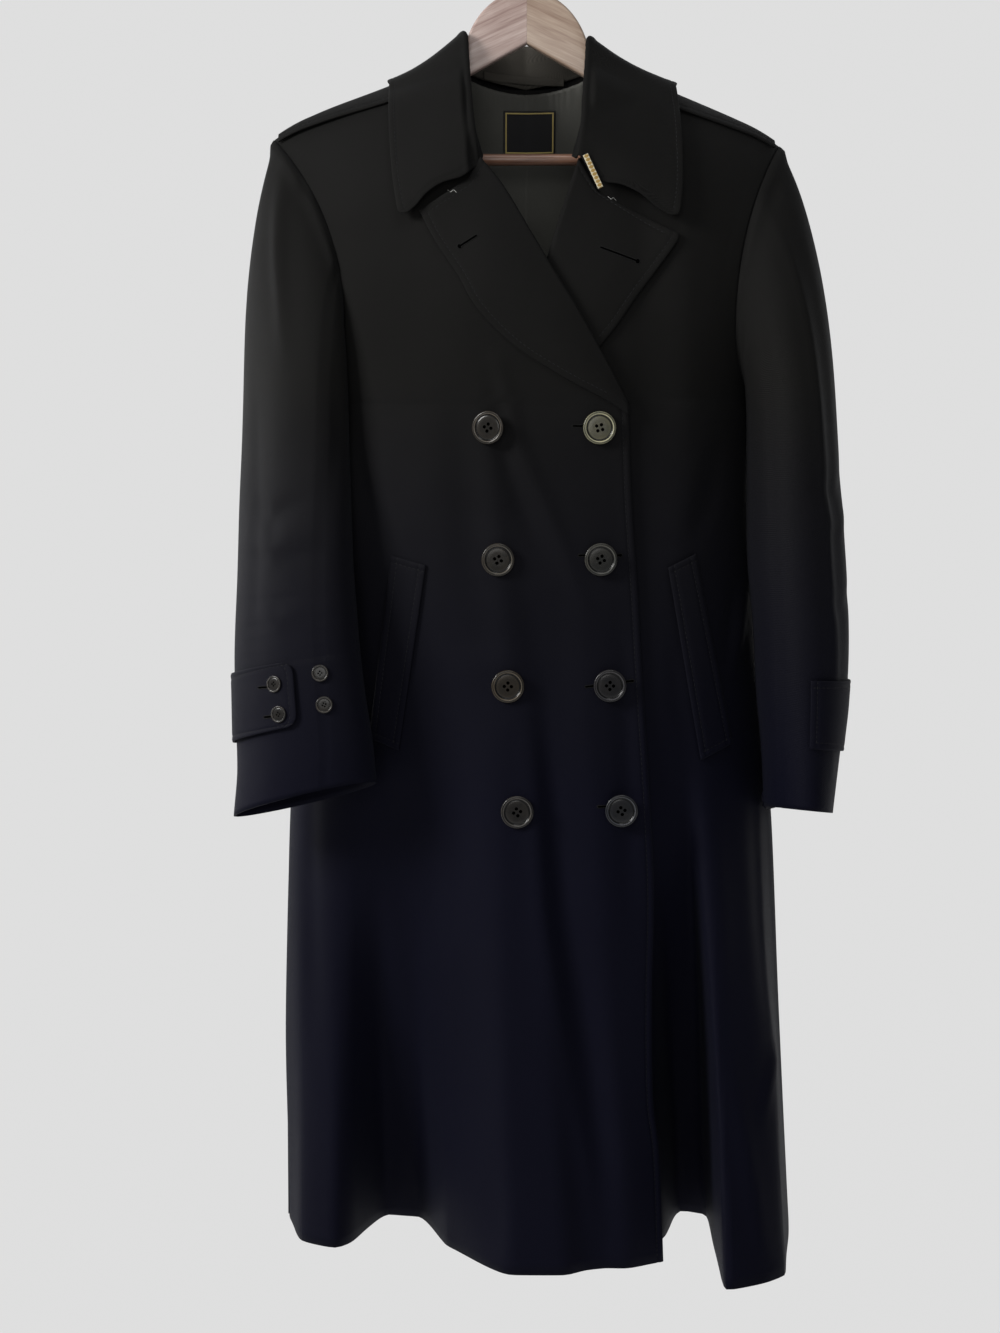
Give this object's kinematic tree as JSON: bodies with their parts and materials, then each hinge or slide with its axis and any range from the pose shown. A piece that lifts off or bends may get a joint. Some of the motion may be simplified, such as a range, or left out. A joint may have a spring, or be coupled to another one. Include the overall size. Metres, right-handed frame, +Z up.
{
  "type": "military greatcoat on a wooden hanger",
  "caption": "Long double-breasted military greatcoat of near-black gabardine with notched lapels, shoulder straps and cuff tabs, hanging on a wooden hanger with a trouser bar.",
  "frame": {"origin": "inner top of the hanger's hook, where it hangs on a rod", "axes": "+Z up along the coat, -Y out of the coat's front, +X to the wearer's left"},
  "size_m": [0.5437, 0.2615, 1.1944],
  "materials": {
    "gabardine": "near-black navy wool gabardine, smooth, with a faint sheen",
    "lining_satin": "charcoal-green satin, soft sheen",
    "button_horn": "glossy dark brown to black, polished",
    "gold_tape": "woven cream and gold tape",
    "hanger_wood": "reddish-brown varnished wood with grain",
    "hook_steel": "polished steel wire"
  },
  "bodies": {
    "root": {"right_front": "gabardine", "left_front": "gabardine", "back": "gabardine", "right_top_sleeve": "gabardine", "right_under_sleeve": "gabardine", "left_top_sleeve": "gabardine", "left_under_sleeve": "gabardine", "collar": "gabardine", "right_lapel": "gabardine", "left_lapel": "gabardine", "right_epaulette": "gabardine", "left_epaulette": "gabardine", "right_pocket_welt": "gabardine", "left_pocket_welt": "gabardine", "right_cuff_tab": "gabardine", "left_cuff_tab": "gabardine", "hanging_loop": "gabardine", "front_button_right_1": "button_horn", "front_button_right_2": "button_horn", "front_button_right_3": "button_horn", "front_button_right_4": "button_horn", "front_button_left_1": "button_horn", "front_button_left_2": "button_horn", "front_button_left_3": "button_horn", "front_button_left_4": "button_horn", "cuff_button_right_1": "button_horn", "cuff_button_right_2": "button_horn", "cuff_button_right_3": "button_horn", "cuff_button_right_4": "button_horn", "cuff_button_left_1": "button_horn", "cuff_button_left_2": "button_horn", "cuff_button_left_3": "button_horn", "cuff_button_left_4": "button_horn", "neck_lining": "lining_satin", "blank_label": "lining_satin", "neck_tape": "gold_tape", "hanger_arm_right": "hanger_wood", "hanger_arm_left": "hanger_wood", "trouser_bar": "hanger_wood", "hanger_hook": "hook_steel"}
  },
  "joints": []
}
